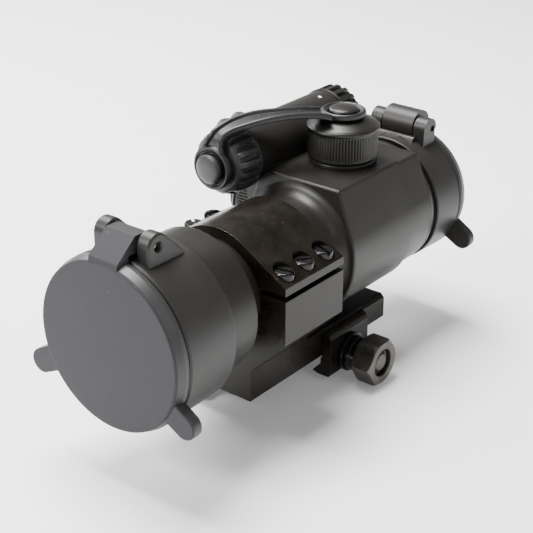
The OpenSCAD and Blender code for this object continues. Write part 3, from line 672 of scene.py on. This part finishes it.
# ---------------------------------------------------------------- clamp
j = prism("jaw", fillet([(11.8, 8.3, 0.4), (12.9, 8.3, 0.8), (14.3, 7.6, 1.2), (15, 6.2, 1.0), (15, -5.4, 0.8), (14.3, -6.2, 0.6), (10.6, -6.2, 0.4), (8.3, -5.6, 0.3), (11.3, -2.4, 0.9), (11.3, -0.35, 0.2), (11.8, -0.35, 0.1)], 0, 5), "y", 0, 19, 0)
boole(j, cyl("h", 3.07, "x", 5, 20, (0, CY, CZ), 64))
bev(j, 0.4, 3, 32, True)
fin(j, "clamp_jaw")
fin(lathe("clamp_washer_piece", [(3.07, 15.02), (6, 15.02), (6, 16.4), (3.07, 16.4)], "x", (0, CY, CZ), 96, 0.25), "clamp_washer")
fin(lathe("clamp_spacer_piece", [(3.07, 16.42), (5.3, 16.42), (5.3, 18.1, 0.1), (5.05, 18.3, 0.1), (5.3, 18.5, 0.1), (5.3, 20.6), (3.07, 20.6)], "x", (0, CY, CZ), 96, 0.3), "clamp_spacer")
hexr = 12.8 / math.sqrt(3)
nut = prism("nut", [(CY + hexr * math.cos(math.radians(60 * i)), CZ + hexr * math.sin(math.radians(60 * i))) for i in range(6)], "x", 20.66, 27.26, 0)
lim = lathe("lim", [(0, 20.5), (6.5, 20.5), (7.6, 21.25), (7.6, 26.5), (6.35, 27.3), (0, 27.3)], "x", (0, CY, CZ), 96, 0)
boole(nut, lim, "INTERSECT")
boole(nut, cyl("h", 3.01, "x", 19, 30, (0, CY, CZ), 64))
boole(nut, lathe("rec", [(0, 25), (3.8, 25), (4.2, 25.4), (4.2, 27), (4.6, 27.4), (0, 27.4)], "x", (0, CY, CZ), 80, 0))
bev(nut, 0.25, 3, 25, True)
fin(nut, "clamp_nut")
st_pts = [(0, -15), (2.95, -15)]
x = 14.0
th = []
while x < 26.0:
    th += [(2.95, x, 0), (2.62, x + 0.5, 0)]
    x += 1.0
stud = lathe("stud", st_pts + [(2.95, 13.5, 0)] + th + [(2.9, 26.2, 0.1), (2.4, 26.6, 0.1), (0, 26.6)], "x", (0, CY, CZ), 64, 0.05)
cut = prism("cut", [(CY - 4, CZ - 5), (CY + 4, CZ - 5), (CY + 4, CZ - 2), (CY - 4, CZ - 2)], "x", -11, 11, 0)
boole(stud, cut)
hd = prism("hd", [(CY + 5.77 * math.cos(math.radians(60 * i + 30)), CZ + 5.77 * math.sin(math.radians(60 * i + 30))) for i in range(6)], "x", -18.6, -14.65, 0)
boole(hd, lathe("lim", [(0, -18.7), (4.7, -18.7), (5.9, -17.9), (5.9, -14.6), (0, -14.6)], "x", (0, CY, CZ), 64, 0), "INTERSECT")
bev(hd, 0.2, 2, 25)
fin(join("clamp_stud_piece", [stud, hd]), "clamp_stud")

# pins with domed ends
for nm, y, z, a, b in (("front", FY, FZ, -8.9, 8.3), ("rear", RY, RZ, -9.4, 8.8)):
    fin(lathe(nm + "_hinge_pin_piece", [(0, a), (1.0, a, 0.35), (1.0, b, 0.35), (0, b)], "x", (0, y, z), 48, 0.3, 4), nm + "_hinge_pin")

# ---------------------------------------------------------------- floor and light
me = bpy.data.meshes.new("floor")
S, z = 3.0, -0.0084
me.from_pydata([(-S, -S, z), (S, -S, z), (S, S, z), (-S, S, z)], [], [(0, 1, 2, 3)])
fl = bpy.data.objects.new("floor", me)
col.objects.link(fl)
fm = bpy.data.materials.new("floor_white")
fm.use_nodes = True
fb = fm.node_tree.nodes["Principled BSDF"]
fb.inputs["Base Color"].default_value = (0.92, 0.92, 0.92, 1)
fb.inputs["Roughness"].default_value = 0.9
fb.inputs["Specular IOR Level"].default_value = 0.1
fb.inputs["Emission Color"].default_value = (1, 1, 1, 1)
fb.inputs["Emission Strength"].default_value = 0.12
me.materials.append(fm)
w = bpy.data.worlds.new("w")
bpy.context.scene.world = w
w.use_nodes = True
wn, wl = w.node_tree.nodes, w.node_tree.links
wt = wn.new("ShaderNodeTexCoord")
ws = wn.new("ShaderNodeSeparateXYZ")
wr = wn.new("ShaderNodeValToRGB")
wl.new(wt.outputs["Generated"], ws.inputs["Vector"])
wl.new(ws.outputs["Z"], wr.inputs["Fac"])
wr.color_ramp.elements[0].position = 0.05
wr.color_ramp.elements[0].color = (0.85, 0.85, 0.85, 1)
wr.color_ramp.elements[1].position = 0.75
wr.color_ramp.elements[1].color = (0.30, 0.30, 0.30, 1)
wl.new(wr.outputs["Color"], wn["Background"].inputs["Color"])
wn["Background"].inputs["Strength"].default_value = 0.75


def area(name, loc, target, size, power, color=(1, 1, 1)):
    ld = bpy.data.lights.new(name, "AREA")
    ld.shape = "RECTANGLE"
    ld.size, ld.size_y = size
    ld.energy = power
    ld.color = color
    lo = bpy.data.objects.new(name, ld)
    lo.location = loc
    lo.rotation_euler = (Vector(target) - Vector(loc)).to_track_quat("-Z", "Y").to_euler()
    col.objects.link(lo)


area("key", (-0.30, -0.62, 0.50), (0, -0.03, 0.03), (0.30, 0.26), 8)
area("top", (-0.20, 0.02, 0.70), (0, 0, 0.04), (0.36, 0.40), 16)
area("left", (-0.55, 0.12, 0.42), (0, 0, 0.04), (0.30, 0.30), 4.0)
area("side", (0.60, -0.10, 0.42), (0, 0, 0.03), (0.30, 0.30), 0.6)
